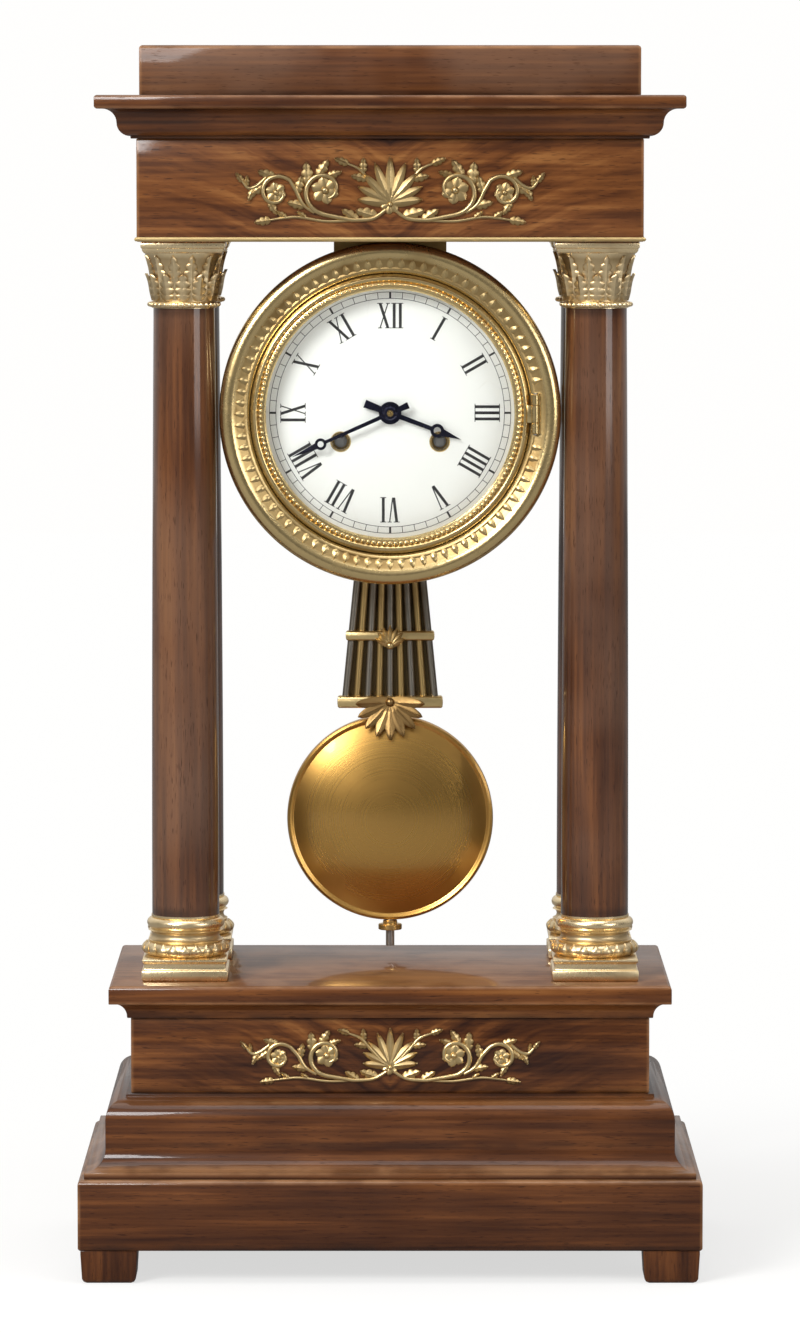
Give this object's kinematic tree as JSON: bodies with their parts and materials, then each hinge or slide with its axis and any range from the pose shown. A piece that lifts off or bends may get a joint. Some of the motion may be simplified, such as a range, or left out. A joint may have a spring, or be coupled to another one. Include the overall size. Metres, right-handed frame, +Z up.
{
  "type": "portico clock",
  "caption": "Mahogany portico clock: striking drum movement with enamel dial and glazed door hung between columns on a stepped plinth, with a gridiron pendulum",
  "frame": {"origin": "on the floor under the middle of the plinth", "axes": "+Z up, front faces -Y, +X to the right seen from the front"},
  "size_m": [0.2532, 0.1536, 0.5],
  "materials": {
    "mahogany": "french polished",
    "gilt_bronze": "matte and burnished gilding",
    "brass": "polished",
    "steel": "polished",
    "blued_steel": "heat blued",
    "enamel": "glossy white",
    "glass": "clear",
    "bell_metal": "turned"
  },
  "bodies": {
    "case": {"feet": "mahogany", "plinth": "mahogany", "base_moulding": "mahogany", "base_box": "mahogany", "base_top": "mahogany", "column_front_left": "mahogany", "column_front_right": "mahogany", "column_rear_left": "mahogany", "column_rear_right": "mahogany", "column_bases": "gilt_bronze", "capitals": "gilt_bronze", "tie_rods": "steel", "soffit_board": "mahogany", "frieze_box": "mahogany", "cornice": "mahogany", "attic_block": "mahogany", "frieze_mount": "gilt_bronze", "base_mount": "gilt_bronze", "drum_hanger": "brass", "hanger_screws": "steel", "drum": "brass", "bezel": "gilt_bronze", "dial": "enamel", "hinge_pins": "steel", "front_plate": "brass", "back_plate": "brass", "pillars": "brass", "back_cock": "brass", "bell_stand": "steel", "bell": "bell_metal", "suspension_spring": "steel"},
    "front_door": {"glass_door": "gilt_bronze", "door_glass": "glass"},
    "back_door": {"rear_door": "brass"},
    "minute_arbor": {"centre_wheel": "brass", "cannon_pinion": "steel", "minute_hand": "blued_steel", "hand_nut": "blued_steel"},
    "hour_pipe": {"hour_wheel": "brass", "hour_hand": "blued_steel"},
    "minute_work": {"minute_wheel": "brass"},
    "going_drive": {"going_barrel": "brass"},
    "going_winder": {"going_arbor": "steel"},
    "going_second": {"going_second_wheel": "brass"},
    "going_third": {"third_wheel": "brass"},
    "going_escape": {"escape_wheel": "brass"},
    "escapement": {"anchor": "steel"},
    "strike_drive": {"strike_barrel": "brass"},
    "strike_winder": {"strike_arbor": "steel"},
    "strike_second": {"strike_second_wheel": "brass", "count_wheel": "brass"},
    "strike_pins": {"pin_wheel": "brass"},
    "strike_locking": {"locking_wheel": "brass"},
    "strike_warning": {"warning_wheel": "brass"},
    "strike_fly": {"fly": "steel"},
    "strike_hammer": {"hammer": "steel"},
    "pendulum": {"pendulum_rod": "steel", "pendulum_grid": "gilt_bronze"},
    "bob": {"pendulum_bob": "brass"},
    "nut": {"rating_nut": "brass"}
  },
  "joints": [
    {"name": "minute_turn", "type": "hinge", "parent": "case", "child": "minute_arbor", "pos_m": [0, 0, 0.351], "axis": [0, 1, 0], "continuous": true},
    {"name": "hour_turn", "type": "hinge", "parent": "case", "child": "hour_pipe", "pos_m": [0, 0, 0.351], "axis": [0, 1, 0], "continuous": true},
    {"name": "minute_wheel_turn", "type": "hinge", "parent": "case", "child": "minute_work", "pos_m": [-0.01091, 0, 0.3573], "axis": [0, 1, 0], "continuous": true},
    {"name": "going_second_turn", "type": "hinge", "parent": "case", "child": "going_second", "pos_m": [0.00031, 0, 0.33588], "axis": [0, 1, 0], "continuous": true},
    {"name": "going_barrel_turn", "type": "hinge", "parent": "case", "child": "going_drive", "pos_m": [0.0202, 0, 0.3392], "axis": [0, 1, 0], "continuous": true},
    {"name": "third_turn", "type": "hinge", "parent": "case", "child": "going_third", "pos_m": [0.00861, 0, 0.36274], "axis": [0, 1, 0], "continuous": true},
    {"name": "escape_turn", "type": "hinge", "parent": "case", "child": "going_escape", "pos_m": [0, 0, 0.37306], "axis": [0, 1, 0], "continuous": true},
    {"name": "pendulum_swing", "type": "hinge", "parent": "case", "child": "pendulum", "pos_m": [0, 0.021, 0.3845], "axis": [0, 1, 0], "range_deg": [-4, 4], "deforming": ["suspension_spring"]},
    {"name": "anchor_rock", "type": "hinge", "parent": "case", "child": "escapement", "pos_m": [0, 0, 0.3845], "axis": [0, 1, 0], "range_deg": [-4, 4]},
    {"name": "going_wind", "type": "hinge", "parent": "case", "child": "going_winder", "pos_m": [0.0202, 0, 0.3392], "axis": [0, 1, 0], "continuous": true},
    {"name": "pin_wheel_turn", "type": "hinge", "parent": "case", "child": "strike_pins", "pos_m": [-0.02337, 0, 0.37153], "axis": [0, 1, 0], "continuous": true},
    {"name": "strike_second_turn", "type": "hinge", "parent": "case", "child": "strike_second", "pos_m": [-0.01705, 0, 0.35911], "axis": [0, 1, 0], "continuous": true},
    {"name": "strike_barrel_turn", "type": "hinge", "parent": "case", "child": "strike_drive", "pos_m": [-0.0202, 0, 0.3392], "axis": [0, 1, 0], "continuous": true},
    {"name": "locking_turn", "type": "hinge", "parent": "case", "child": "strike_locking", "pos_m": [-0.01263, 0, 0.37323], "axis": [0, 1, 0], "continuous": true},
    {"name": "warning_turn", "type": "hinge", "parent": "case", "child": "strike_warning", "pos_m": [-0.01325, 0, 0.38217], "axis": [0, 1, 0], "continuous": true},
    {"name": "fly_turn", "type": "hinge", "parent": "case", "child": "strike_fly", "pos_m": [-0.00748, 0, 0.38702], "axis": [0, 1, 0], "continuous": true},
    {"name": "strike_wind", "type": "hinge", "parent": "case", "child": "strike_winder", "pos_m": [-0.0202, 0, 0.3392], "axis": [0, 1, 0], "continuous": true},
    {"name": "hammer_lift", "type": "hinge", "parent": "case", "child": "strike_hammer", "pos_m": [-0.035, 0, 0.3665], "axis": [0, 1, 0], "range_deg": [0, 18]},
    {"name": "front_door_open", "type": "hinge", "parent": "case", "child": "front_door", "pos_m": [0.0589, -0.0415, 0.351], "axis": [0, 0, 1], "range_deg": [0, 110]},
    {"name": "back_door_open", "type": "hinge", "parent": "case", "child": "back_door", "pos_m": [0.0578, 0.0464, 0.351], "axis": [0, 0, -1], "range_deg": [0, 105]},
    {"name": "nut_turn", "type": "hinge", "parent": "bob", "child": "nut", "pos_m": [0, 0.021, 0.1345], "axis": [0, 0, 1], "range_deg": [-1080.5, 1080.5]},
    {"name": "bob_slide", "type": "slide", "parent": "pendulum", "child": "bob", "axis": [0, 0, 1], "range_m": [-0.0021, 0.0021]}
  ],
  "couplings": [
    {"joint": "hour_turn", "follows": "minute_turn", "ratio": 0.083333},
    {"joint": "minute_wheel_turn", "follows": "minute_turn", "ratio": -0.33333},
    {"joint": "going_second_turn", "follows": "minute_turn", "ratio": -0.2},
    {"joint": "going_barrel_turn", "follows": "minute_turn", "ratio": 0.028571},
    {"joint": "third_turn", "follows": "minute_turn", "ratio": -12},
    {"joint": "escape_turn", "follows": "minute_turn", "ratio": 132},
    {"joint": "anchor_rock", "follows": "pendulum_swing", "ratio": 1},
    {"joint": "strike_second_turn", "follows": "pin_wheel_turn", "ratio": -0.13889},
    {"joint": "strike_barrel_turn", "follows": "pin_wheel_turn", "ratio": 0.019841},
    {"joint": "locking_turn", "follows": "pin_wheel_turn", "ratio": -7.5},
    {"joint": "warning_turn", "follows": "pin_wheel_turn", "ratio": 52.5},
    {"joint": "fly_turn", "follows": "pin_wheel_turn", "ratio": -328.12},
    {"joint": "nut_turn", "follows": "bob_slide", "rad_per_m": 8976}
  ]
}
